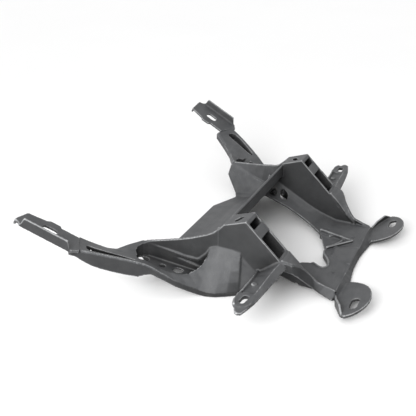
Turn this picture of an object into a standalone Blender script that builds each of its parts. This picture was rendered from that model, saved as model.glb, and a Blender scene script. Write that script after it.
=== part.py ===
"""Fairing stay of a motorcycle: one moulded bracket with two long rear arms, two box towers,
a trough between them, an open middle, a shallow front tray and four slotted lugs.

Metres, +Z up. +X is the bracket's right, -Y is its front, the arms reach back along +Y.
The right half (+X) is modelled and mirrored. Z is 0 at the plane the bracket rests on.
"""
from math import cos, pi, radians, sin

import bmesh
import bpy
from mathutils import Matrix, Vector

# Walls
WALL = 0.0030
RIB = 0.0026
THIN = 0.0022

# Towers: a box with a face that slopes down to the front
TOWER_OUTER = 0.1000
TOWER_WIDTH = 0.0250
TOWER_BACK_Y = 0.1345
TOWER_BACK_Z = 0.0705
TOWER_CREST_Y = 0.1110
TOWER_CREST_Z = 0.0785
TOWER_FOOT_Y = 0.0740
TOWER_FOOT_Z = 0.0425
WINDOW_WIDTH = 0.0195
SMALL_WINDOW_START = 0.0045
SMALL_WINDOW_LENGTH = 0.0072
LARGE_WINDOW_START = 0.0228
LARGE_WINDOW_LENGTH = 0.0265
TOP_SLOT_LENGTH = 0.0120
TOP_SLOT_WIDTH = 0.0052
TOP_SLOT_TURN = radians(30)

# Crossbar between the towers, an upright wall with a rounded crest
CROSSBAR_CREST_Z = 0.0690
CROSSBAR_FOOT_Z = 0.0545
CROSSBAR_ROUND = 0.0009

# Arm end tab, a slotted plate with an upright lip along its outer side
TAB_CENTRE = Vector((0.1870, 0.2795, 0.0735))
TAB_TURN = radians(10.5)
TAB_PITCH = radians(23.5)
TAB_ROLL = radians(-6.0)
TAB_INNER = 0.0130
TAB_OUTER = 0.0165
TAB_REAR = 0.0290
TAB_REAR_SLANT = 0.0040
TAB_LIP_END = 0.0035
TAB_FRONT = 0.0300
TAB_LIP_HEIGHT = 0.0100
TAB_HOOK_DROP = 0.0050
TAB_SLOT_LENGTH = 0.0160
TAB_SLOT_WIDTH = 0.0075

# Front lug, a slotted plate that slopes up to the front
LUG_CENTRE = Vector((0.0920, 0.0000, 0.0110))
LUG_RISE = 0.32
LUG_WALL = 0.0036
LUG_SLOT_LENGTH = 0.0190
LUG_SLOT_WIDTH = 0.0080
LUG_LIP_HEIGHT = 0.0085

# Rear lug, a channel that reaches sideways from the tower's foot
SIDE_LUG_RIB_HEIGHT = 0.0040
SIDE_LUG_SLOT_X = 0.1665
SIDE_LUG_SLOT_Y = 0.0850
SIDE_LUG_SLOT_LENGTH = 0.0140
SIDE_LUG_SLOT_WIDTH = 0.0055
SIDE_LUG_PAD = 0.0120
SIDE_LUG_PAD_TOP = 0.0370
SIDE_LUG_PAD_WALL = 0.0040
# From the middle of the slot to the tip
SIDE_LUG_END = 0.0205
SIDE_LUG_NUB = (0.445, 0.0862, 0.0335)
SIDE_LUG_NUB_DIAMETER = 0.0060

# Front tray
TRAY_FLOOR_Z = 0.0075
TRAY_HALF_WIDTH = 0.0770
TRAY_FRONT_Y = 0.0235
TRAY_PANEL_RISE = 0.0012
# Edge of the opening, from the middle plane round one lobe to the flange
TRAY_EDGE = (
    (0.0000, 0.0562), (0.0080, 0.0545), (0.0160, 0.0488), (0.0245, 0.0448), (0.0330, 0.0440), (0.0376, 0.0475),
    (0.0362, 0.0532), (0.0318, 0.0605), (0.0350, 0.0705),
)
TRAY_RIM_HEIGHT = 0.0030
TRAY_RIM_DEPTH = 0.0042
# Raised middle panel, a quarter of it as seen from above
TRAY_PANEL = ((0.0103, 0.0459), (0.0201, 0.0262), (0.0201, TRAY_FRONT_Y - 0.0005))
# Foot of the front band, from the middle plane outwards
BAND_FOOT = (
    (0.0000, 0.0205, 0.0008), (0.0200, 0.0195, 0.0008), (0.0400, 0.0165, 0.0008), (0.0560, 0.0155, 0.0010),
    (0.0760, 0.0175, 0.0015),
)

# Right lobe of the tray, closed by a sunk triangular web between two ribs
WEB_MIDDLE = Vector((0.0022, 0.0548))
WEB_SIDE = Vector((0.0385, 0.0720))
WEB_TIP = Vector((0.0300, 0.0322))
WEB_LOW_Z = 0.0016
WEB_HIGH_Z = 0.0085
WEB_RIB_Z = 0.0125
WEB_RIB_FOOT_Z = 0.0010
WEB_RIB_SIDE_Z = 0.0140
TRAY_PIN_DIAMETER = 0.0035
TRAY_PINS = ((0.0500, 0.0655), (0.0420, 0.0345))

# Wedge-shaped recess in the arm
ARM_RECESS_DEPTH = 0.0070

# Three holes in the floor of the web's pocket, back to front
HOLE_DIAMETERS = (0.0125, 0.0072, 0.0108)

OBJECT_NAME = "fairing_stay"
MERGE = 0.00002
ROUND_STEPS = 5
EDGE_STEPS = 2
FACE_INSET = 0.0003
# How far a solid of the right half reaches past the middle plane
MIRROR_LAP = 0.0040


def clear_scene():
    for obj in list(bpy.data.objects):
        bpy.data.objects.remove(obj, do_unlink=True)


def new_collection(name):
    collection = bpy.data.collections.new(name)
    bpy.context.scene.collection.children.link(collection)
    return collection


def moulded_plastic():
    material = bpy.data.materials.new("charcoal_plastic")
    material.use_nodes = True
    shader = material.node_tree.nodes["Principled BSDF"]
    shader.inputs["Base Color"].default_value = (0.055, 0.056, 0.058, 1.0)
    shader.inputs["Roughness"].default_value = 0.55
    shader.inputs["Metallic"].default_value = 0.0
    return material


def place(name, mesh, collection):
    obj = bpy.data.objects.new(name, mesh)
    collection.objects.link(obj)
    obj.hide_render = True
    obj.display_type = "WIRE"
    return obj


def evaluated_mesh(obj):
    """The object's mesh with its modifiers applied."""
    bpy.context.view_layer.update()
    graph = bpy.context.evaluated_depsgraph_get()
    return bpy.data.meshes.new_from_object(obj.evaluated_get(graph))


def smooth_rail(points, steps):
    """Points along a smooth curve through the given ones."""
    knots = [Vector(p) for p in points]
    knots = [2 * knots[0] - knots[1]] + knots + [2 * knots[-1] - knots[-2]]
    rail = []
    for i in range(1, len(knots) - 2):
        a, b, c, d = knots[i - 1:i + 3]
        for s in range(steps):
            t = s / steps
            rail.append(0.5 * (2 * b + (c - a) * t + (2 * a - 5 * b + 4 * c - d) * t ** 2
                               + (3 * b - a - 3 * c + d) * t ** 3))
    rail.append(knots[-2])
    return rail


def across(lines, steps):
    """Lines of equal length, with smooth lines added between them."""
    columns = [smooth_rail(column, steps) for column in zip(*lines)]
    return [list(row) for row in zip(*columns)]


def sheet(name, rows, wall, collection, offset=0.0):
    """An open surface through rows of points, thickened to a wall."""
    mesh = bpy.data.meshes.new(name)
    bm = bmesh.new()
    grid = [[bm.verts.new(p) for p in row] for row in rows]
    for low, high in zip(grid, grid[1:]):
        for i in range(len(low) - 1):
            bm.faces.new((low[i], low[i + 1], high[i + 1], high[i]))
    bmesh.ops.triangulate(bm, faces=bm.faces)
    bm.to_mesh(mesh)
    bm.free()
    obj = place(name, mesh, collection)
    solidify = obj.modifiers.new("wall", "SOLIDIFY")
    solidify.thickness = wall
    solidify.offset = offset
    solidify.use_even_offset = True
    return obj


def block(name, lower, upper, collection):
    """A closed solid between two outlines with the same number of points."""
    mesh = bpy.data.meshes.new(name)
    bm = bmesh.new()
    low = [bm.verts.new(p) for p in lower]
    high = [bm.verts.new(p) for p in upper]
    count = len(low)
    for i in range(count):
        j = (i + 1) % count
        bm.faces.new((low[i], low[j], high[j], high[i]))
    bm.faces.new(list(reversed(low)))
    bm.faces.new(high)
    bmesh.ops.triangulate(bm, faces=bm.faces)
    bmesh.ops.recalc_face_normals(bm, faces=bm.faces)
    bm.to_mesh(mesh)
    bm.free()
    return place(name, mesh, collection)


def plate(name, outline, frame, wall, collection):
    """A flat outline in the XY plane of a frame, made a plate of the given wall around it."""
    curve = bpy.data.curves.new(name, "CURVE")
    curve.dimensions = "2D"
    curve.fill_mode = "BOTH"
    curve.extrude = wall / 2
    spline = curve.splines.new("POLY")
    spline.points.add(len(outline) - 1)
    for point, (x, y) in zip(spline.points, outline):
        point.co = (x, y, 0.0, 1.0)
    spline.use_cyclic_u = True
    flat = bpy.data.objects.new(name + "_outline", curve)
    collection.objects.link(flat)
    mesh = evaluated_mesh(flat)
    bpy.data.objects.remove(flat, do_unlink=True)
    bm = bmesh.new()
    bm.from_mesh(mesh)
    bmesh.ops.remove_doubles(bm, verts=bm.verts, dist=MERGE)
    bmesh.ops.transform(bm, matrix=frame, verts=bm.verts)
    bmesh.ops.recalc_face_normals(bm, faces=bm.faces)
    bm.to_mesh(mesh)
    bm.free()
    return place(name, mesh, collection)


def stadium(length, width):
    """The outline of a slot with round ends, its long side along X."""
    radius = width / 2
    reach = length / 2 - radius
    points = []
    for side, start in ((1, -pi / 2), (-1, pi / 2)):
        for i in range(ROUND_STEPS + 1):
            angle = start + pi * i / ROUND_STEPS
            points.append((side * reach + radius * cos(angle), radius * sin(angle)))
    return points


def rounded(points, steps):
    """A closed soft outline through the given points."""
    loop = [Vector(p) for p in points]
    count = len(loop)
    outline = []
    for i in range(count):
        a, b, c, d = (loop[(i + k) % count] for k in (-1, 0, 1, 2))
        for s in range(steps):
            t = s / steps
            outline.append(0.5 * (2 * b + (c - a) * t + (2 * a - 5 * b + 4 * c - d) * t ** 2
                                  + (3 * b - a - 3 * c + d) * t ** 3))
    return outline


def circle(diameter):
    steps = 2 * ROUND_STEPS
    return [(diameter / 2 * cos(2 * pi * i / steps), diameter / 2 * sin(2 * pi * i / steps))
            for i in range(steps)]


def frame_at(origin, along, up):
    """A frame with X along the first direction and Z near the second."""
    x_axis = Vector(along).normalized()
    z_axis = (Vector(up) - Vector(up).dot(x_axis) * x_axis).normalized()
    y_axis = z_axis.cross(x_axis)
    turn = Matrix((x_axis, y_axis, z_axis)).transposed().to_4x4()
    return Matrix.Translation(Vector(origin)) @ turn


def side_plate(name, x_middle, outline, wall, collection):
    """A plate that stands in a YZ plane, its outline given as (y, z)."""
    frame = frame_at((x_middle, 0.0, 0.0), (0, 1, 0), (1, 0, 0))
    return plate(name, outline, frame, wall, collection)


# Towers

TOWER_INNER = TOWER_OUTER - TOWER_WIDTH
FACE_DIRECTION = Vector((0.0, TOWER_FOOT_Y - TOWER_CREST_Y, TOWER_FOOT_Z - TOWER_CREST_Z))
FACE_LENGTH = FACE_DIRECTION.length
FACE_DIRECTION.normalize()
FACE_NORMAL = Vector((0.0, FACE_DIRECTION.z, -FACE_DIRECTION.y))
TOP_DIRECTION = Vector((0.0, TOWER_BACK_Y - TOWER_CREST_Y, TOWER_BACK_Z - TOWER_CREST_Z)).normalized()
TOP_NORMAL = Vector((0.0, -TOP_DIRECTION.z, TOP_DIRECTION.y))
TOWER_MIDDLE = (TOWER_OUTER + TOWER_INNER) / 2

WALL_START_X = TOWER_OUTER - WALL / 2 - 0.0001
# Foot of the side wall, front to back
WALL_FOOT = (
    (WALL_START_X, TOWER_BACK_Y, 0.0300),
    (WALL_START_X, 0.1470, 0.0260),
    (0.1030, 0.1600, 0.0140),
    (0.1090, 0.1870, 0.0190),
    (0.1175, 0.2180, 0.0250),
)
# Top edge of the side wall, front to back
WALL_RIM = (
    (WALL_START_X, TOWER_BACK_Y, TOWER_BACK_Z - FACE_INSET),
    (WALL_START_X, 0.1470, 0.0585),
    (0.1035, 0.1590, 0.0545),
    (0.1090, 0.1770, 0.0500),
    (0.1180, 0.2130, 0.0440),
)


def tower(solids, cutters):
    outer_outline = (
        (TOWER_FOOT_Y, TOWER_FOOT_Z),
        (TOWER_CREST_Y, TOWER_CREST_Z),
        (TOWER_BACK_Y, TOWER_BACK_Z),
        (0.1400, 0.0630),
        (0.1400, 0.0300),
        (0.1160, 0.0300),
        (0.1100, 0.0240),
        (0.0975, 0.0200),
        (0.0900, 0.0270),
    )
    side_plate("tower_outer_wall", TOWER_OUTER - WALL / 2, outer_outline, WALL, solids)
    inner_outline = (
        (0.0420, 0.0070),
        (TOWER_FOOT_Y, TOWER_FOOT_Z),
        (TOWER_CREST_Y, TOWER_CREST_Z),
        (TOWER_BACK_Y, TOWER_BACK_Z),
        (0.1450, 0.0510),
        (0.1230, 0.0360),
        (0.0970, 0.0215),
        (0.0810, 0.0140),
        (0.0650, 0.0095),
        (0.0480, 0.0062),
    )
    side_plate("tower_inner_wall", TOWER_INNER + WALL / 2, inner_outline, WALL, solids)

    crest = Vector((TOWER_MIDDLE, TOWER_CREST_Y, TOWER_CREST_Z))
    face_middle = crest + FACE_DIRECTION * FACE_LENGTH / 2 - FACE_NORMAL * (WALL / 2 + FACE_INSET)
    half = TOWER_WIDTH / 2 - WALL / 2
    reach = FACE_LENGTH / 2
    face = [(-half, -reach), (half, -reach), (half, reach), (-half, reach)]
    plate("tower_face", face, frame_at(face_middle, (1, 0, 0), FACE_NORMAL), WALL, solids)

    back = Vector((TOWER_MIDDLE, TOWER_BACK_Y, TOWER_BACK_Z))
    top_length = (back - crest).length
    top_middle = (crest + back) / 2 - TOP_NORMAL * (WALL / 2 + FACE_INSET)
    top = [(-half, -top_length / 2), (half, -top_length / 2), (half, top_length / 2), (-half, top_length / 2)]
    plate("tower_top", top, frame_at(top_middle, (1, 0, 0), TOP_NORMAL), WALL, solids)

    back_low = 0.0280
    back_high = TOWER_BACK_Z - FACE_INSET
    rear = [(-half, back_low), (half, back_low), (half, back_high), (-half, back_high)]
    rear_frame = frame_at((TOWER_MIDDLE, TOWER_BACK_Y - WALL / 2 - FACE_INSET, 0.0), (1, 0, 0), (0, -1, 0))
    plate("tower_back", rear, rear_frame, WALL, solids)

    windows = ((SMALL_WINDOW_START, SMALL_WINDOW_LENGTH), (LARGE_WINDOW_START, LARGE_WINDOW_LENGTH))
    for number, (start, length) in enumerate(windows):
        middle = crest + FACE_DIRECTION * (start + length / 2)
        outline = [(sx * WINDOW_WIDTH / 2, sy * length / 2) for sx, sy in ((-1, -1), (1, -1), (1, 1), (-1, 1))]
        plate(f"window_{number}", outline, frame_at(middle, (1, 0, 0), FACE_NORMAL), 4 * WALL, cutters)

    slot_frame = frame_at(top_middle, (cos(TOP_SLOT_TURN), sin(TOP_SLOT_TURN), 0.0), TOP_NORMAL)
    plate("tower_slot", stadium(TOP_SLOT_LENGTH, TOP_SLOT_WIDTH), slot_frame, 4 * WALL, cutters)


def crossbar(solids):
    """An upright wall between the towers' rear edges, the trough's front."""
    front = TOWER_BACK_Y - WALL / 2
    back = TOWER_BACK_Y + WALL / 2 + FACE_INSET
    section = (
        (front, CROSSBAR_FOOT_Z),
        (front, CROSSBAR_CREST_Z - CROSSBAR_ROUND),
        (front + CROSSBAR_ROUND, CROSSBAR_CREST_Z),
        (back - CROSSBAR_ROUND, CROSSBAR_CREST_Z),
        (back, CROSSBAR_CREST_Z - CROSSBAR_ROUND),
        (back, CROSSBAR_FOOT_Z),
    )
    ends = (-MIRROR_LAP, TOWER_INNER + WALL)
    block("crossbar", [(ends[0], y, z) for y, z in section], [(ends[1], y, z) for y, z in section], solids)


# Trough behind the crossbar: lines from the crossbar back to the rear edge, from the middle outwards

TROUGH_PROFILE = ((TOWER_BACK_Y, 0.0680), (0.1410, 0.0560), (0.1520, 0.0360), (0.1680, 0.0180), (0.1900, 0.0080),
                  (0.2190, 0.0025))
TROUGH_FLAT_END = 0.0600
TROUGH_SHOULDER = (
    (0.0760, TOWER_BACK_Y, 0.0670),
    (0.0760, 0.1410, 0.0540),
    (0.0770, 0.1520, 0.0330),
    (0.0790, 0.1670, 0.0160),
    (0.0820, 0.1870, 0.0070),
    (0.0850, 0.2080, 0.0025),
)
TROUGH_FOOT = (
    (0.0850, TOWER_BACK_Y, 0.0640),
    (0.0850, 0.1410, 0.0500),
    (0.0870, 0.1510, 0.0290),
    (0.0900, 0.1660, 0.0140),
    (0.0940, 0.1860, 0.0065),
    (0.0970, 0.2030, 0.0025),
)
TROUGH_CORNER = (
    (0.0910, TOWER_BACK_Y, 0.0600),
    (0.0910, 0.1410, 0.0470),
    (0.0920, 0.1510, 0.0280),
    (0.0960, 0.1670, 0.0160),
    (0.1030, 0.1880, 0.0095),
    (0.1106, 0.2087, 0.0035),
)
TROUGH_SLOPE = (
    (0.0950, TOWER_BACK_Y, 0.0560),
    (0.0960, 0.1410, 0.0430),
    (0.0970, 0.1510, 0.0285),
    (0.1010, 0.1680, 0.0220),
    (0.1080, 0.1910, 0.0225),
    (0.1175, 0.2225, 0.0250),
)
TROUGH_EDGE = (
    (0.0985, TOWER_BACK_Y, 0.0540),
    (0.0985, 0.1410, 0.0420),
    (0.0990, 0.1510, 0.0310),
    (0.1035, 0.1680, 0.0290),
    (0.1100, 0.1910, 0.0340),
    (0.1180, 0.2180, 0.0410),
)
TROUGH_STEPS = 2


def trough(solids):
    flat = [[(x, y, z) for y, z in TROUGH_PROFILE] for x in (-MIRROR_LAP, TROUGH_FLAT_END)]
    lines = flat + [TROUGH_SHOULDER, TROUGH_FOOT, TROUGH_CORNER, TROUGH_SLOPE, TROUGH_EDGE]
    sheet("trough", [smooth_rail(line, TROUGH_STEPS) for line in lines], WALL, solids)


def side_wall(solids):
    rim = smooth_rail(WALL_RIM, EDGE_STEPS)
    foot = smooth_rail(WALL_FOOT, EDGE_STEPS)
    sheet("side_wall", [rim, foot], WALL, solids)


# Upper skin of the arm, the web and the flared belly: inner, middle and outer line, back to front

SKIN_INNER = (
    (0.1670, 0.2610, 0.0600),
    (0.1570, 0.2450, 0.0495),
    (0.1460, 0.2320, 0.0425),
    (0.1185, 0.2165, 0.0430),
    (0.1105, 0.1880, 0.0350),
    (0.1035, 0.1600, 0.0275),
    (0.1000, 0.1480, 0.0410),
    (0.0990, 0.1320, 0.0430),
    (0.0980, 0.1160, 0.0450),
)
SKIN_MIDDLE = (
    (0.1792, 0.2555, 0.0608),
    (0.1700, 0.2410, 0.0535),
    (0.1600, 0.2270, 0.0470),
    (0.1400, 0.2080, 0.0365),
    (0.1320, 0.1850, 0.0272),
    (0.1240, 0.1640, 0.0215),
    (0.1145, 0.1480, 0.0230),
    (0.1110, 0.1320, 0.0230),
    (0.1045, 0.1140, 0.0250),
)
SKIN_OUTER = (
    (0.1910, 0.2500, 0.0605),
    (0.1840, 0.2380, 0.0570),
    (0.1740, 0.2220, 0.0510),
    (0.1594, 0.2005, 0.0420),
    (0.1525, 0.1895, 0.0355),
    (0.1420, 0.1690, 0.0190),
    (0.1285, 0.1490, 0.0060),
    (0.1240, 0.1330, 0.0035),
    (0.1110, 0.1130, 0.0035),
)
# Depth of the outer wall below the skin at each of those places
OUTER_WALL_DEPTHS = (0.0060, 0.0130, 0.0155, 0.0150, 0.0070, 0.0050, 0.0045, 0.0035, 0.0035)
# Shift that keeps two walls that meet at an edge from sharing it exactly
EDGE_LAP = Vector((-0.0006, 0.0003, -0.0005))
ARM_STATIONS = 4
INNER_WALL_DEPTH = 0.0080
TAB_ROOT_DEPTH = 0.0060
SKIN_STEPS = 2

# Hollows seen from above; floor and lid are planes, each given by a point and its slopes along X and Y
HOLLOW_CEILING = 0.0800
POCKET_OUTLINE = (
    (0.1192, 0.2105), (0.1235, 0.2145), (0.1300, 0.2165), (0.1365, 0.2150), (0.1412, 0.2100), (0.1431, 0.1990),
    (0.1425, 0.1860), (0.1380, 0.1756), (0.1304, 0.1662), (0.1237, 0.1606), (0.1174, 0.1557), (0.1112, 0.1519),
    (0.1058, 0.1500), (0.1016, 0.1485), (0.1062, 0.1600), (0.1134, 0.1870),
)
POCKET_FLOOR_POINT = Vector((0.1310, 0.2060, 0.0295))
POCKET_FLOOR_SLOPES = (0.30, 0.190)
POCKET_LID_POINT = Vector((0.1320, 0.1850, 0.0265))
POCKET_LID_SLOPES = (-0.17, 0.45)
ARM_RECESS_OUTLINE = (
    (0.1750, 0.2472), (0.1790, 0.2440), (0.1795, 0.2395), (0.1740, 0.2290), (0.1650, 0.2160), (0.1560, 0.2035),
    (0.1540, 0.2040), (0.1570, 0.2120), (0.1615, 0.2220), (0.1680, 0.2360), (0.1725, 0.2460),
)
ARM_LID_POINT = Vector((0.1600, 0.2270, 0.0465))
ARM_LID_SLOPES = (0.36, 0.207)
ARM_FLOOR_POINT = ARM_LID_POINT - Vector((0.0, 0.0, ARM_RECESS_DEPTH))
# How far the holes lean outwards and to the front for each unit of height
HOLE_LEAN = (0.9, -0.5)
HOLE_CENTRES = ((0.1326, 0.2092), (0.1295, 0.1890), (0.1245, 0.1736))


def skin(solids):
    rails = [smooth_rail(line, SKIN_STEPS) for line in (SKIN_INNER, SKIN_MIDDLE, SKIN_OUTER)]
    sheet("skin", across(rails, 2), WALL, solids)
    low = [Vector(p) - Vector((0.0, 0.0, d)) for p, d in zip(SKIN_OUTER, OUTER_WALL_DEPTHS)]
    low = smooth_rail(low, SKIN_STEPS)
    high = [p + EDGE_LAP for p in rails[2]]
    start = tab_frame() @ Vector((TAB_OUTER - WALL / 2, -TAB_FRONT + WALL, 0.0))
    drop = Vector((0.0, 0.0, TAB_ROOT_DEPTH))
    sheet("outer_wall", [[start] + high, [start - drop] + low], WALL, solids)
    arm = [Vector(p) for p in SKIN_INNER[:ARM_STATIONS]]
    drop = Vector((0.0, 0.0, INNER_WALL_DEPTH))
    sheet("arm_inner_wall", [arm, [p - drop for p in arm]], WALL, solids)


def plane_height(spot, plane):
    """Height of a plane, given as a point and its slopes along X and Y, above a spot."""
    point, slopes = plane
    return point.z + slopes[0] * (spot[0] - point.x) + slopes[1] * (spot[1] - point.y)


def hollow(name, outline, floor_plane, lid_plane, solids, cutters):
    """A hollow sunk into the skin down to a sloping floor, with a wall and a floor of its own."""
    middle = Vector((sum(x for x, y in outline), sum(y for x, y in outline))) / len(outline)
    inside = [Vector(p) for p in outline]
    outside = [p + (p - middle).normalized() * RIB for p in inside]
    floor = [plane_height(p, floor_plane) for p in inside]
    base = [plane_height(p, floor_plane) - RIB for p in outside]
    lid = [max(z + WALL / 2, plane_height(p, lid_plane)) for p, z in zip(outside, base)]
    block(name + "_boss", [(p.x, p.y, z) for p, z in zip(outside, base)],
          [(p.x, p.y, z) for p, z in zip(outside, lid)], solids)
    block(name + "_hollow", [(p.x, p.y, z) for p, z in zip(inside, floor)],
          [(p.x, p.y, HOLLOW_CEILING) for p in inside], cutters)


def hollows(solids, cutters):
    arm_floor = (ARM_FLOOR_POINT, ARM_LID_SLOPES)
    hollow("arm_recess", ARM_RECESS_OUTLINE, arm_floor, (ARM_LID_POINT, ARM_LID_SLOPES), solids, cutters)
    pocket_floor = (POCKET_FLOOR_POINT, POCKET_FLOOR_SLOPES)
    hollow("web_pocket", POCKET_OUTLINE, pocket_floor, (POCKET_LID_POINT, POCKET_LID_SLOPES), solids, cutters)
    lean = Vector((*HOLE_LEAN, 1.0)) * 4 * WALL
    for number, (centre, diameter) in enumerate(zip(HOLE_CENTRES, HOLE_DIAMETERS)):
        middle = Vector((*centre, plane_height(centre, pocket_floor)))
        ring = [middle + Vector((x, y, 0.0)) for x, y in circle(diameter)]
        block(f"web_hole_{number}", [p - lean for p in ring], [p + lean for p in ring], cutters)


def belly_front(solids):
    """The facet that closes the belly towards the rear lug."""
    top = (Vector((0.0975, 0.1165, 0.0440)), Vector((0.0985, 0.0970, 0.0225)))
    low = (Vector((0.1110, 0.1140, 0.0035)), Vector((0.1010, 0.0930, 0.0035)))
    sheet("belly_front", [top, low], WALL, solids)


# Arm end tab

def tab_frame():
    turn = (Matrix.Rotation(-TAB_TURN, 4, "Z") @ Matrix.Rotation(TAB_PITCH, 4, "X")
            @ Matrix.Rotation(TAB_ROLL, 4, "Y"))
    return Matrix.Translation(TAB_CENTRE) @ turn


def tab(solids, cutters):
    """Local X points outwards and local Y back along the arm."""
    frame = tab_frame()
    rear = TAB_REAR + TAB_REAR_SLANT
    hook = ((-TAB_INNER + 0.0040, TAB_REAR), (TAB_OUTER - 0.0045, rear))
    outline = (
        (-TAB_INNER + 0.0010, -TAB_FRONT + 0.0030),
        (-TAB_INNER + 0.0010, -0.0070),
        (-TAB_INNER - 0.0020, -0.0050),
        (-TAB_INNER - 0.0020, 0.0060),
        (-TAB_INNER + 0.0010, 0.0090),
        *hook,
        (TAB_OUTER - 0.0030, rear - 0.0050),
        (TAB_OUTER, TAB_REAR - TAB_LIP_END),
        (TAB_OUTER, -TAB_FRONT),
        (TAB_OUTER - 0.0060, -TAB_FRONT - 0.0060),
    )
    plate("tab", outline, frame, WALL, solids)
    lip_low = [(TAB_OUTER - WALL / 2, y, -WALL / 2) for y in (-TAB_FRONT, TAB_REAR - TAB_LIP_END)]
    lip_ends = (-TAB_FRONT + 0.0060, TAB_REAR - TAB_LIP_END - 0.0030)
    lip_high = [(TAB_OUTER + 0.0010, y, TAB_LIP_HEIGHT) for y in lip_ends]
    rows = [[frame @ Vector(p) for p in lip_low], [frame @ Vector(p) for p in lip_high]]
    sheet("tab_lip", rows, THIN, solids)
    hook_top = [(x, y - THIN / 2, 0.0) for x, y in hook]
    hook_low = [(x, y + 0.0005, z - TAB_HOOK_DROP) for x, y, z in hook_top]
    sheet("tab_hook", [[frame @ Vector(p) for p in line] for line in (hook_top, hook_low)], THIN, solids)
    slot_frame = frame @ Matrix.Rotation(pi / 2, 4, "Z")
    plate("tab_slot", stadium(TAB_SLOT_LENGTH, TAB_SLOT_WIDTH), slot_frame, 6 * WALL, cutters)


# Front tray, with the two sloping members that join it to the towers

MEMBER_OUTER = (
    (TOWER_OUTER - 0.0010, TOWER_FOOT_Y, TOWER_FOOT_Z),
    (0.0955, 0.0640, 0.0390),
    (0.0855, 0.0580, 0.0327),
    (0.0787, 0.0494, 0.0232),
    (0.0767, 0.0420, 0.0160),
    (0.0755, 0.0225, 0.0095),
)
MEMBER_INNER = (
    (TOWER_INNER + 0.0005, TOWER_FOOT_Y, TOWER_FOOT_Z),
    (TOWER_INNER + 0.0005, 0.0645, 0.0333),
    (TOWER_INNER + 0.0005, 0.0560, 0.0235),
    (TOWER_INNER + 0.0005, 0.0485, 0.0150),
    (TOWER_INNER + 0.0005, 0.0400, 0.0078),
)
MEMBER_FOOT = (
    (TOWER_OUTER - 0.0010, TOWER_FOOT_Y, 0.0330),
    (0.0950, 0.0630, 0.0290),
    (0.0878, 0.0540, 0.0190),
    (0.0822, 0.0460, 0.0105),
    (0.0792, 0.0380, 0.0040),
    (0.0820, 0.0236, 0.0004),
)


def member(solids):
    inner = smooth_rail(MEMBER_INNER, 2)
    outer = smooth_rail(MEMBER_OUTER, 2)
    sheet("member_face", [inner, outer[:len(inner)]], WALL, solids)
    sheet("member_wall", [outer, smooth_rail(MEMBER_FOOT, 2)], WALL, solids)


def front_tray(solids, cutters):
    edge = [(p.x, p.y) for p in smooth_rail([(*p, 0.0) for p in TRAY_EDGE], EDGE_STEPS)]
    floor = edge + [(0.0480, 0.0810), (0.0600, 0.0790), (TRAY_HALF_WIDTH, 0.0600),
                    (TRAY_HALF_WIDTH, TRAY_FRONT_Y - 0.0010), (-MIRROR_LAP, TRAY_FRONT_Y - 0.0010),
                    (-MIRROR_LAP, TRAY_EDGE[0][1])]
    plate("tray_floor", floor, Matrix.Translation((0.0, 0.0, TRAY_FLOOR_Z)), WALL, solids)
    foot = smooth_rail(BAND_FOOT, EDGE_STEPS)
    foot[0].x = -MIRROR_LAP
    top = [Vector((p.x, TRAY_FRONT_Y, TRAY_FLOOR_Z + WALL / 2 - FACE_INSET)) for p in foot]
    sheet("front_band", [top, foot], WALL, solids)
    rim = [Vector((x + THIN / 4, y - THIN / 4, TRAY_FLOOR_Z)) for x, y in edge[:-EDGE_STEPS]]
    rim[0].x = -MIRROR_LAP
    up = Vector((0.0, 0.0, TRAY_RIM_HEIGHT))
    down = Vector((0.0, 0.0, TRAY_RIM_DEPTH))
    sheet("tray_rim", [[p + up for p in rim], [p - down for p in rim]], THIN, solids)
    (back_x, back_y), (side_x, side_y), (front_x, front_y) = TRAY_PANEL
    panel = [(-MIRROR_LAP, back_y), (back_x, back_y), (side_x, side_y), (front_x, front_y), (-MIRROR_LAP, front_y)]
    low = [Vector((x, y, TRAY_FLOOR_Z)) for x, y in panel]
    high = [p + Vector((0.0, 0.0, WALL / 2 + TRAY_PANEL_RISE)) for p in low]
    block("tray_panel", low, high, solids)
    for number, spot in enumerate(TRAY_PINS):
        frame = Matrix.Translation((*spot, TRAY_FLOOR_Z + WALL))
        plate(f"tray_pin_{number}", circle(TRAY_PIN_DIAMETER), frame, 2 * WALL, cutters)


def right_web(added):
    """The sunk web in the right lobe and the two ribs that meet at its tip."""
    corners = [(*WEB_MIDDLE, WEB_LOW_Z), (*WEB_SIDE, WEB_HIGH_Z), (*WEB_TIP, WEB_HIGH_Z)]
    upper = [Vector(c) for c in corners]
    lower = [p - Vector((0.0, 0.0, THIN)) for p in upper]
    lower = [Vector((p.x, p.y, max(p.z, FACE_INSET))) for p in lower]
    block("right_web", lower, upper, added)
    ribs = (("web_rib_middle", WEB_MIDDLE, WEB_RIB_Z), ("web_rib_side", WEB_SIDE, WEB_RIB_SIDE_Z))
    for name, start, rise in ribs:
        ends = (start, WEB_TIP)
        crest = [Vector((*start, rise)), Vector((*WEB_TIP, WEB_RIB_Z - FACE_INSET))]
        foot = [Vector((*p, WEB_RIB_FOOT_Z)) for p in ends]
        sheet(name, [crest, foot], RIB, added)


FLANGE_OUTER = (
    (0.0765, 0.1510, 0.0530),
    (0.0765, 0.1230, 0.0370),
    (0.0765, 0.0970, 0.0220),
    (0.0765, 0.0810, 0.0143),
    (0.0765, 0.0640, 0.0083),
)
FLANGE_INNER = (
    (0.0567, 0.1510, 0.0345),
    (0.0592, 0.1210, 0.0225),
    (0.0570, 0.0970, 0.0110),
    (0.0470, 0.0820, 0.0080),
    (0.0350, 0.0705, 0.0075),
)
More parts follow.
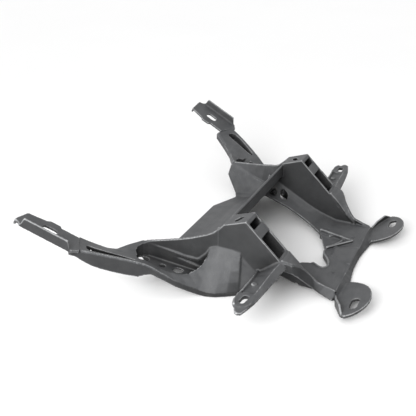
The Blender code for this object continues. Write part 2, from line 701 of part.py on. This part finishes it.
# Place of the middle of the flange between its edges: share of the way across, share of the way up
FLANGE_FILLET = (0.62, 0.44)
FLANGE_WINDOWS = (
    ((0.0618, 0.1480, 0.0360), (0.0655, 0.1478, 0.0385), (0.0694, 0.1408, 0.0390), (0.0665, 0.1368, 0.0350),
     (0.0634, 0.1368, 0.0325), (0.0616, 0.1425, 0.0335)),
    ((0.0695, 0.1330, 0.0365), (0.0730, 0.1318, 0.0385), (0.0730, 0.1270, 0.0358), (0.0703, 0.1236, 0.0328),
     (0.0655, 0.1240, 0.0290), (0.0634, 0.1295, 0.0296)),
)


def opening_flange(solids, cutters):
    """The sloping shelf along the side of the opening, with two windows."""
    along, down = FLANGE_FILLET
    middle = [Vector((i[0] + (o[0] - i[0]) * along, i[1] + (o[1] - i[1]) * along, i[2] + (o[2] - i[2]) * down))
              for o, i in zip(FLANGE_OUTER, FLANGE_INNER)]
    lines = [smooth_rail(line, 2) for line in (FLANGE_OUTER, middle, FLANGE_INNER)]
    sheet("flange", lines, WALL, solids)
    a, b, c = Vector(FLANGE_OUTER[1]), Vector(FLANGE_INNER[1]), Vector(FLANGE_INNER[2])
    normal = (b - a).cross(c - a).normalized() * 3 * WALL
    for number, corners in enumerate(FLANGE_WINDOWS):
        outline = rounded(corners, EDGE_STEPS)
        block(f"flange_window_{number}", [p - normal for p in outline], [p + normal for p in outline], cutters)


# Front lug

def lug_height(y):
    return LUG_CENTRE.z - LUG_RISE * (y - LUG_CENTRE.y)


LUG_NOSE = (
    (0.0470, 0.0150), (0.0500, 0.0050), (0.0580, -0.0060), (0.0720, -0.0125), (0.0870, -0.0140), (0.1005, -0.0105),
    (0.1108, -0.0035), (0.1150, 0.0038),
)
LUG_LIP_LINE = ((0.0757, 0.0232), (0.0907, 0.0190), (0.1043, 0.0124), (0.1125, 0.0082))
LUG_LIP_SHARES = (0.45, 0.85, 1.0)


def front_lug(solids, cutters):
    """The lug's plate with a round nose, and the lip along its outer rear edge."""
    nose = [(p.x, p.y) for p in smooth_rail([(*p, 0.0) for p in LUG_NOSE], EDGE_STEPS)]
    outline = [(0.0600, 0.0210)] + nose + list(reversed(LUG_LIP_LINE))
    top = [Vector((x, y, lug_height(y))) for x, y in outline]
    low = [p - Vector((0.0, 0.0, LUG_WALL)) for p in top]
    block("front_lug", low, top, solids)
    base = [Vector((x, y - THIN / 2, lug_height(y) - WALL / 2)) for x, y in LUG_LIP_LINE]
    crest = [p + Vector((0.0, 0.0, LUG_LIP_HEIGHT * r)) for p, r in zip(base, LUG_LIP_SHARES)]
    crest.append(base[-1] + Vector((0.0, 0.0, WALL)))
    sheet("lug_lip", [base, crest], THIN, solids)
    slot_up = Vector((0.0, LUG_RISE, 1.0))
    plate("front_lug_slot", stadium(LUG_SLOT_LENGTH, LUG_SLOT_WIDTH), frame_at(LUG_CENTRE, (1, 0, 0), slot_up),
          6 * LUG_WALL, cutters)


# Rear lug

# Lines along the lug: share of the way from the tower to the tip, then Y and Z
SIDE_LUG_REAR = (
    (0.00, 0.0965, 0.0235),
    (0.25, 0.0945, 0.0275),
    (0.58, 0.0930, 0.0320),
    (0.80, 0.0930, 0.0338),
    (1.00, 0.0862, 0.0345),
)
SIDE_LUG_MIDDLE = (
    (0.00, 0.0755, 0.0405),
    (0.23, 0.0768, 0.0365),
    (0.47, 0.0785, 0.0350),
    (0.75, 0.0808, 0.0345),
    (1.01, 0.0832, 0.0345),
)
SIDE_LUG_CREST = (
    (0.00, 0.0745, 0.0415),
    (0.23, 0.0768, 0.0405),
    (0.47, 0.0780, 0.0390),
    (0.75, 0.0805, 0.0350),
    (1.02, 0.0840, 0.0345),
)
SIDE_LUG_FRONT = (
    (-0.02, 0.0680, 0.0360),
    (0.23, 0.0702, 0.0350),
    (0.47, 0.0718, 0.0345),
    (0.75, 0.0745, 0.0340),
    (0.99, 0.0797, 0.0338),
)
LUG_LAP = Vector((0.0, -0.0008, -0.0006))
SIDE_LUG_ROOT_X = TOWER_OUTER - 0.0020


def side_lug_point(share, y, z):
    """A place on the rear lug, which ends a set way past its slot."""
    tip = SIDE_LUG_SLOT_X + SIDE_LUG_END
    return Vector((SIDE_LUG_ROOT_X + (tip - SIDE_LUG_ROOT_X) * share, y, z))


def side_lug(solids, cutters):
    """A plate with a low rear rib and a sloping strip along its front."""
    lines = (SIDE_LUG_REAR, SIDE_LUG_MIDDLE, SIDE_LUG_CREST, SIDE_LUG_FRONT)
    rear, middle, crest, front = (smooth_rail([side_lug_point(*p) for p in line], 2) for line in lines)
    sheet("side_lug_floor", [rear, middle], WALL, solids)
    sheet("side_lug_strip", [crest, front], WALL, solids)
    wall_end = len(crest) - 2
    foot = [p + LUG_LAP for p in middle[:wall_end]]
    sheet("side_lug_step", [foot, [p + LUG_LAP for p in crest[:wall_end]]], THIN, solids)
    up = Vector((0.0, 0.0, SIDE_LUG_RIB_HEIGHT))
    sheet("side_lug_rib", [rear[:-1], [p + up for p in rear[:-1]]], THIN, solids)
    nub = circle(SIDE_LUG_NUB_DIAMETER)
    plate("side_lug_nub", nub, Matrix.Translation(side_lug_point(*SIDE_LUG_NUB)), 2 * WALL, solids)
    centre = Vector((SIDE_LUG_SLOT_X, SIDE_LUG_SLOT_Y, SIDE_LUG_PAD_TOP - SIDE_LUG_PAD_WALL / 2))
    pad = stadium(SIDE_LUG_SLOT_LENGTH + SIDE_LUG_PAD, SIDE_LUG_SLOT_WIDTH + SIDE_LUG_PAD)
    pad_frame = frame_at(centre, (1, 0.10, 0), (0, 0, 1))
    plate("side_lug_pad", pad, pad_frame, SIDE_LUG_PAD_WALL, solids)
    plate("side_lug_slot", stadium(SIDE_LUG_SLOT_LENGTH, SIDE_LUG_SLOT_WIDTH),
          pad_frame, 4 * WALL, cutters)


def rest_plane(cutters):
    """Everything below the plane the bracket rests on is cut off, so that its feet are flat."""
    reach = 0.4
    corners = ((-reach, -reach), (reach, -reach), (reach, reach), (-reach, reach))
    block("rest_plane", [(x, y, -0.02) for x, y in corners], [(x, y, 0.0) for x, y in corners], cutters)


def join(solids, cutters, added, guides):
    """All solids of the right half joined, cut, mirrored, and the web of the right lobe added."""
    first = solids.objects["tower_inner_wall"]
    body = place("joined", first.data.copy(), guides)
    union = body.modifiers.new("join", "BOOLEAN")
    union.operation = "UNION"
    union.operand_type = "COLLECTION"
    union.collection = solids
    union.solver = "EXACT"
    union.use_self = True
    cut = body.modifiers.new("cut", "BOOLEAN")
    cut.operation = "DIFFERENCE"
    cut.operand_type = "COLLECTION"
    cut.collection = cutters
    cut.solver = "EXACT"
    mirror = body.modifiers.new("mirror", "MIRROR")
    mirror.use_axis = (True, False, False)
    mirror.use_bisect_axis = (True, False, False)
    mirror.merge_threshold = MERGE
    fill = body.modifiers.new("web", "BOOLEAN")
    fill.operation = "UNION"
    fill.operand_type = "COLLECTION"
    fill.collection = added
    fill.solver = "EXACT"
    fill.use_self = True
    return body


def finish(body, collection):
    """The bracket itself, its origin below the middle of its box, on the plane it rests on."""
    mesh = evaluated_mesh(body)
    reach = [v.co.y for v in mesh.vertices]
    mesh.transform(Matrix.Translation((0.0, -(min(reach) + max(reach)) / 2, 0.0)))
    mesh.name = OBJECT_NAME
    mesh.materials.clear()
    mesh.materials.append(moulded_plastic())
    stay = bpy.data.objects.new(OBJECT_NAME, mesh)
    collection.objects.link(stay)
    return stay


def build():
    clear_scene()
    collection = new_collection("motorcycle_fairing_stay")
    guides = new_collection("guides")
    solids = new_collection("solids_to_join")
    cutters = new_collection("cutters")
    added = new_collection("right_lobe_web")
    tower(solids, cutters)
    crossbar(solids)
    trough(solids)
    side_wall(solids)
    skin(solids)
    hollows(solids, cutters)
    belly_front(solids)
    tab(solids, cutters)
    member(solids)
    front_tray(solids, cutters)
    right_web(added)
    opening_flange(solids, cutters)
    front_lug(solids, cutters)
    side_lug(solids, cutters)
    rest_plane(cutters)
    finish(join(solids, cutters, added, guides), collection)


build()
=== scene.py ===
"""Looks of the fairing stay: its moulded surface, its charcoal plastic, and the studio around it.

Metres, +Z up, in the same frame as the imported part. +X is the bracket's right, -Y is its front.
"""
from math import cos, radians, sin

import bpy
from mathutils import Matrix, Vector


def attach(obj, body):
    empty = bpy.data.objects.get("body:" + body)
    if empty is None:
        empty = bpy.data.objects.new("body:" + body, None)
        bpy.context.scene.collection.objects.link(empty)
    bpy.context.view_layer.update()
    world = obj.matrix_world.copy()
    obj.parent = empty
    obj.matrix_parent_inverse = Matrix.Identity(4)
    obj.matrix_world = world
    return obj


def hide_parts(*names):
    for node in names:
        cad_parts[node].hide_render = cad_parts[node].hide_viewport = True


NODE = "fairing_stay"
BODY = "root"

# Camera, as the photograph was taken: place, heading from +X towards +Y, tilt below the horizon
CAMERA_PLACE = Vector((-0.6486, -0.25107, 0.3819))
CAMERA_HEADING = radians(24.9)
CAMERA_TILT = radians(26.1)
CAMERA_NEAREST = 0.01
IMAGE_WIDTH = 416
FOCAL_LENGTH_PIXELS = 680.0
SENSOR_WIDTH = 36.0

# Moulded surface
VOXEL = 0.0008
SOFTENING_FACTOR = 0.5
SOFTENING_TURNS = 4
TRIANGLE_GOAL = 190000

# Colours of the plastic
PLASTIC_DARK = (0.036, 0.037, 0.039, 1.0)
PLASTIC_LIGHT = (0.062, 0.063, 0.065, 1.0)
GRAIN_DARK = (0.024, 0.025, 0.026, 1.0)
SCUFF_LIGHT = (0.125, 0.127, 0.130, 1.0)
# Colour of the edges: lighter rubbed wear, and a painted highlight along the edges
EDGE_RUB_AND_HIGHLIGHT = (0.40, 0.404, 0.410, 1.0)
DUST = (0.115, 0.112, 0.106, 1.0)

# Patterns of the plastic: scale, detail, then stretch and roughness where a pattern runs one way
CLOUDS = (14.0, 4.0)
MOTTLE = (85.0, 5.0)
GRAIN = (1500.0, 3.0)
PIT_SCALE = 900.0
FLOW = (9.0, 6.0, (1.0, 5.0, 9.0), 0.62)
SCUFFS = (60.0, 5.0, (1.0, 16.0, 2.5), 0.6)
SCRATCHES = (130.0, 4.0, (14.0, 1.0, 3.0), 0.6)

# Shares of the clouds, the mottle and the flow in the tone
TONE_SHARES = (0.45, 0.35, 0.20)

# How a pattern becomes a share: its low and high value, then the share at each, or 0 and 1
TONE_SPREAD = (0.36, 0.64)
GRAIN_SPREAD = (0.35, 0.75, 0.0, 0.22)
SCUFF_SPREAD = (0.60, 0.72, 0.0, 0.20)
SCRATCH_SPREAD = (0.66, 0.76, 0.0, 0.22)
# EDGE_SPREAD and EDGE_BREAKS place the rubbed edges and their painted highlight
EDGE_SPREAD = (0.517, 0.595)
EDGE_BREAKS = (0.30, 0.62, 0.55, 1.0)
DUST_SPREAD = (0.45, 0.85, 0.30, 0.0)
DUST_BREAKS = (0.42, 0.66)

# Painted shade: recesses are darker. Painted light: faces that look up or straight to the front are lighter
# than other upright ones.
RECESS_DEPTH = 0.030
RECESS_PAINTED_SHADE = (0.20, 0.95, 0.28, 1.0)
PAINTED_LIGHT_SIDE = (0.0, 0.45, 1.0)
UPRIGHT_TO_PAINTED_LIGHT = (0.04, 0.28, 0.60, 1.62)
FRONT_TO_UPRIGHT = (-0.50, -0.22, 1.60, 1.0)

# Sheen of the plastic
ROUGHNESS_SPREAD = (0.35, 0.65, 0.46, 0.62)
RUB_POLISH = 0.10
REFRACTION = 1.48
SHEEN = 0.28

# Relief of each pattern: depth and strength
FLOW_RELIEF = (0.0006, 0.10)
MOTTLE_RELIEF = (0.0004, 0.14)
PIT_RELIEF = (0.00020, 0.22)
GRAIN_RELIEF = (0.00022, 0.32)
SCRATCH_RELIEF = (0.00020, 0.10)

# Floor
FLOOR_SIZE = 12.0
FLOOR_CLOUDS = (2.5, 3.0)
FLOOR_DARK = (0.90, 0.90, 0.90, 1.0)
FLOOR_LIGHT = (0.93, 0.93, 0.93, 1.0)
FLOOR_ROUGHNESS = 0.9

# Light: the sky's own glow, and how much it gains towards (+X, +Y, +Z) and towards (-X, -Y, -Z)
SKY_COLOUR = (1.0, 1.0, 1.0, 1.0)
SKY_GLOW = 0.25
SKY_GAIN = (0.74, 0.46, 0.28)
SKY_GAIN_BACK = (0.95, -0.06, 0.0)
SOFTBOX_STRENGTH = 1.05
SOFTBOX_ANGLE = radians(40)
SOFTBOX_PLACE = Vector((-1.0, 0.05, 0.7))

# A smaller lamp close to the left side
LAMP_POWER = 2.5
LAMP_SIZE = 0.30
LAMP_PLACE = Vector((-0.62, 0.02, 0.30))
LAMP_AIM = Vector((-0.10, 0.0, 0.04))


def evaluated_mesh(obj):
    bpy.context.view_layer.update()
    graph = bpy.context.evaluated_depsgraph_get()
    return bpy.data.meshes.new_from_object(obj.evaluated_get(graph))


def moulded_surface(node):
    """The bracket with the soft edges and fillets of a moulded part."""
    start = bpy.data.objects.new("start", node.data.copy())
    bpy.context.scene.collection.objects.link(start)
    remesh = start.modifiers.new("remesh", "REMESH")
    remesh.mode = "VOXEL"
    remesh.voxel_size = VOXEL
    soften = start.modifiers.new("soften", "SMOOTH")
    soften.factor = SOFTENING_FACTOR
    soften.iterations = SOFTENING_TURNS
    fine = evaluated_mesh(start)
    fine.calc_loop_triangles()
    ratio = min(1.0, TRIANGLE_GOAL / len(fine.loop_triangles))
    start.modifiers.clear()
    start.data = fine
    thin = start.modifiers.new("thin", "DECIMATE")
    thin.ratio = ratio
    mesh = evaluated_mesh(start)
    bpy.data.objects.remove(start, do_unlink=True)
    mesh.shade_smooth()
    mesh.materials.clear()
    piece = bpy.data.objects.new("moulded_bracket", mesh)
    bpy.context.scene.collection.objects.link(piece)
    return piece


class Graph:
    """Short names for the nodes of one material."""

    def __init__(self, name):
        self.material = bpy.data.materials.new(name)
        self.material.use_nodes = True
        self.nodes = self.material.node_tree.nodes
        self.links = self.material.node_tree.links
        self.shader = self.nodes["Principled BSDF"]
        self.place = self.nodes.new("ShaderNodeTexCoord").outputs["Object"]

    def put(self, socket, value):
        if isinstance(value, bpy.types.NodeSocket):
            self.links.new(value, socket)
        else:
            socket.default_value = value

    def noise(self, scale, detail, stretch=None, roughness=0.5):
        """A noise pattern, drawn out by a stretch along each axis where there is one."""
        place = self.place
        if stretch is not None:
            mapping = self.nodes.new("ShaderNodeMapping")
            self.links.new(place, mapping.inputs["Vector"])
            mapping.inputs["Scale"].default_value = stretch
            place = mapping.outputs["Vector"]
        node = self.nodes.new("ShaderNodeTexNoise")
        self.links.new(place, node.inputs["Vector"])
        node.inputs["Scale"].default_value = scale
        node.inputs["Detail"].default_value = detail
        node.inputs["Roughness"].default_value = roughness
        return node.outputs["Fac"]

    def specks(self, scale):
        node = self.nodes.new("ShaderNodeTexVoronoi")
        self.links.new(self.place, node.inputs["Vector"])
        node.inputs["Scale"].default_value = scale
        return node.outputs["Distance"]

    def spread(self, value, low, high, to_low=0.0, to_high=1.0):
        node = self.nodes.new("ShaderNodeMapRange")
        self.put(node.inputs["Value"], value)
        node.inputs["From Min"].default_value = low
        node.inputs["From Max"].default_value = high
        node.inputs["To Min"].default_value = to_low
        node.inputs["To Max"].default_value = to_high
        return node.outputs["Result"]

    def maths(self, operation, a, b):
        node = self.nodes.new("ShaderNodeMath")
        node.operation = operation
        self.put(node.inputs[0], a)
        self.put(node.inputs[1], b)
        return node.outputs["Value"]

    def mean(self, a, b):
        return self.maths("MULTIPLY", self.maths("ADD", a, b), 0.5)

    def facing(self, direction):
        """How far each face looks in a direction."""
        geometry = self.nodes.new("ShaderNodeNewGeometry")
        node = self.nodes.new("ShaderNodeVectorMath")
        node.operation = "DOT_PRODUCT"
        self.links.new(geometry.outputs["Normal"], node.inputs[0])
        node.inputs[1].default_value = direction
        return node.outputs["Value"]

    def mix(self, share, a, b):
        node = self.nodes.new("ShaderNodeMix")
        node.data_type = "RGBA"
        self.put(node.inputs["Factor"], share)
        self.put(node.inputs["A"], a)
        self.put(node.inputs["B"], b)
        return node.outputs["Result"]

    def times(self, colour, factor):
        node = self.nodes.new("ShaderNodeMix")
        node.data_type = "RGBA"
        node.blend_type = "MULTIPLY"
        node.inputs["Factor"].default_value = 1.0
        self.put(node.inputs["A"], colour)
        self.put(node.inputs["B"], factor)
        return node.outputs["Result"]

    def bump(self, height, relief, below=None):
        distance, strength = relief
        node = self.nodes.new("ShaderNodeBump")
        node.inputs["Distance"].default_value = distance
        node.inputs["Strength"].default_value = strength
        self.links.new(height, node.inputs["Height"])
        if below is not None:
            self.links.new(below, node.inputs["Normal"])
        return node.outputs["Normal"]


def charcoal_plastic():
    """Moulded plastic: fine grain, flow marks, rubbed edges with a painted highlight, faint scuffs, dust in
    the corners, painted shade in recesses and painted light by facing.
    """
    g = Graph("charcoal_plastic_grained")
    clouds = g.noise(*CLOUDS)
    mottle = g.noise(*MOTTLE)
    grain = g.noise(*GRAIN)
    pits = g.specks(PIT_SCALE)
    flow = g.noise(*FLOW)
    scuffs = g.noise(*SCUFFS)
    scratches = g.noise(*SCRATCHES)

    cloud_part, mottle_part, flow_part = [
        g.maths("MULTIPLY", pattern, share) for pattern, share in zip((clouds, mottle, flow), TONE_SHARES)]
    tone = g.maths("ADD", g.maths("ADD", cloud_part, mottle_part), flow_part)
    colour = g.mix(g.spread(tone, *TONE_SPREAD), PLASTIC_DARK, PLASTIC_LIGHT)
    colour = g.mix(g.spread(grain, *GRAIN_SPREAD), colour, GRAIN_DARK)
    marks = g.maths("MAXIMUM", g.spread(scuffs, *SCUFF_SPREAD), g.spread(scratches, *SCRATCH_SPREAD))
    colour = g.mix(marks, colour, SCUFF_LIGHT)

    # Lighter convex edges: rubbed wear, and also a painted highlight along the edges
    pointiness = g.nodes.new("ShaderNodeNewGeometry").outputs["Pointiness"]
    rub_and_highlight = g.maths("MULTIPLY", g.spread(pointiness, *EDGE_SPREAD), g.spread(mottle, *EDGE_BREAKS))
    colour = g.mix(rub_and_highlight, colour, EDGE_RUB_AND_HIGHLIGHT)

    closeness = g.nodes.new("ShaderNodeAmbientOcclusion")
    closeness.inputs["Distance"].default_value = RECESS_DEPTH
    open_share = closeness.outputs["AO"]
    dust = g.maths("MULTIPLY", g.spread(open_share, *DUST_SPREAD), g.spread(mottle, *DUST_BREAKS))
    colour = g.mix(dust, colour, DUST)

    # Painted light: the base colour is lighter on faces that look up or to the front, and darker on upright
    # ones
    facing = g.facing(PAINTED_LIGHT_SIDE)
    painted_light = g.maths("MULTIPLY", g.spread(facing, *UPRIGHT_TO_PAINTED_LIGHT), g.spread(facing, *FRONT_TO_UPRIGHT))
    # Painted shade: recesses are darker, multiplied with the painted light by facing
    shade = g.maths("MULTIPLY", g.spread(open_share, *RECESS_PAINTED_SHADE), painted_light)
    g.put(g.shader.inputs["Base Color"], g.times(colour, shade))

    roughness = g.spread(g.mean(clouds, scuffs), *ROUGHNESS_SPREAD)
    g.put(g.shader.inputs["Roughness"], g.maths("SUBTRACT", roughness, g.maths("MULTIPLY", rub_and_highlight, RUB_POLISH)))
    g.shader.inputs["IOR"].default_value = REFRACTION
    g.shader.inputs["Specular IOR Level"].default_value = SHEEN
    normal = g.bump(flow, FLOW_RELIEF)
    normal = g.bump(mottle, MOTTLE_RELIEF, normal)
    normal = g.bump(pits, PIT_RELIEF, normal)
    normal = g.bump(grain, GRAIN_RELIEF, normal)
    normal = g.bump(scratches, SCRATCH_RELIEF, normal)
    g.put(g.shader.inputs["Normal"], normal)
    return g.material


def camera():
    level = Vector((cos(CAMERA_HEADING), sin(CAMERA_HEADING), 0.0))
    forward = level * cos(CAMERA_TILT) - Vector((0.0, 0.0, sin(CAMERA_TILT)))
    right = Vector((sin(CAMERA_HEADING), -cos(CAMERA_HEADING), 0.0))
    up = right.cross(forward)
    data = bpy.data.cameras.new("camera")
    data.sensor_width = SENSOR_WIDTH
    data.lens = FOCAL_LENGTH_PIXELS / IMAGE_WIDTH * SENSOR_WIDTH
    data.clip_start = CAMERA_NEAREST
    obj = bpy.data.objects.new("camera", data)
    bpy.context.scene.collection.objects.link(obj)
    turn = Matrix((right, up, -forward)).transposed().to_4x4()
    obj.matrix_world = Matrix.Translation(CAMERA_PLACE) @ turn
    bpy.context.scene.camera = obj


def floor():
    bpy.ops.mesh.primitive_plane_add(size=FLOOR_SIZE)
    ground = bpy.context.object
    ground.name = "floor"
    g = Graph("pale_floor")
    g.put(g.shader.inputs["Base Color"], g.mix(g.noise(*FLOOR_CLOUDS), FLOOR_DARK, FLOOR_LIGHT))
    g.shader.inputs["Roughness"].default_value = FLOOR_ROUGHNESS
    ground.data.materials.append(g.material)


def add_light(name, kind, power, place, aim):
    """A light of one kind, turned from its place towards what it lights."""
    data = bpy.data.lights.new(name, kind)
    data.energy = power
    obj = bpy.data.objects.new(name, data)
    bpy.context.scene.collection.objects.link(obj)
    obj.rotation_euler = (aim - place).to_track_quat("-Z", "Y").to_euler()
    return obj


def softbox():
    """A wide soft light at the left, above the bracket."""
    obj = add_light("softbox", "SUN", SOFTBOX_STRENGTH, SOFTBOX_PLACE, Vector())
    obj.data.angle = SOFTBOX_ANGLE


def side_lamp():
    """A square lamp near the left side, so the light falls off towards the right."""
    obj = add_light("side_lamp", "AREA", LAMP_POWER, LAMP_PLACE, LAMP_AIM)
    obj.location = LAMP_PLACE
    obj.data.size = LAMP_SIZE
    obj.visible_camera = False


def sky():
    """A white surround, brightest at the left and the right and dimmest in front."""
    world = bpy.data.worlds.new("studio")
    world.use_nodes = True
    nodes = world.node_tree.nodes
    links = world.node_tree.links

    def vector_maths(operation, first, second):
        node = nodes.new("ShaderNodeVectorMath")
        node.operation = operation
        links.new(first, node.inputs[0])
        node.inputs[1].default_value = second
        return node.outputs["Value"] if operation == "DOT_PRODUCT" else node.outputs["Vector"]

    def gain(direction, amount):
        ahead = vector_maths("MAXIMUM", direction, (0.0, 0.0, 0.0))
        return vector_maths("DOT_PRODUCT", ahead, amount)

    direction = nodes.new("ShaderNodeTexCoord").outputs["Generated"]
    turned = vector_maths("MULTIPLY", direction, (-1.0, -1.0, -1.0))
    total = nodes.new("ShaderNodeMath")
    total.operation = "ADD"
    links.new(gain(direction, SKY_GAIN), total.inputs[0])
    links.new(gain(turned, SKY_GAIN_BACK), total.inputs[1])
    strength = nodes.new("ShaderNodeMath")
    strength.operation = "ADD"
    strength.inputs[1].default_value = SKY_GLOW
    links.new(total.outputs["Value"], strength.inputs[0])
    links.new(strength.outputs["Value"], nodes["Background"].inputs["Strength"])
    nodes["Background"].inputs["Color"].default_value = SKY_COLOUR
    bpy.context.scene.world = world


def studio():
    bpy.context.scene.view_settings.view_transform = "Standard"
    sky()
    softbox()
    side_lamp()
    floor()


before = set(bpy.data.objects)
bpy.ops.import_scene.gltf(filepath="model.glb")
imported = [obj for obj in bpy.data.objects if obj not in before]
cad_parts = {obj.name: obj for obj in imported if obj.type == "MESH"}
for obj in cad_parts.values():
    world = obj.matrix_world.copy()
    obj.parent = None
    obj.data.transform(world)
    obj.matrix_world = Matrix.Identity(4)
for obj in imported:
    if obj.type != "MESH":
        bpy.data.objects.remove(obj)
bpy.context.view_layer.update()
camera()
piece = moulded_surface(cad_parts[NODE])
piece.data.materials.append(charcoal_plastic())
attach(piece, BODY)
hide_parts(NODE)
studio()
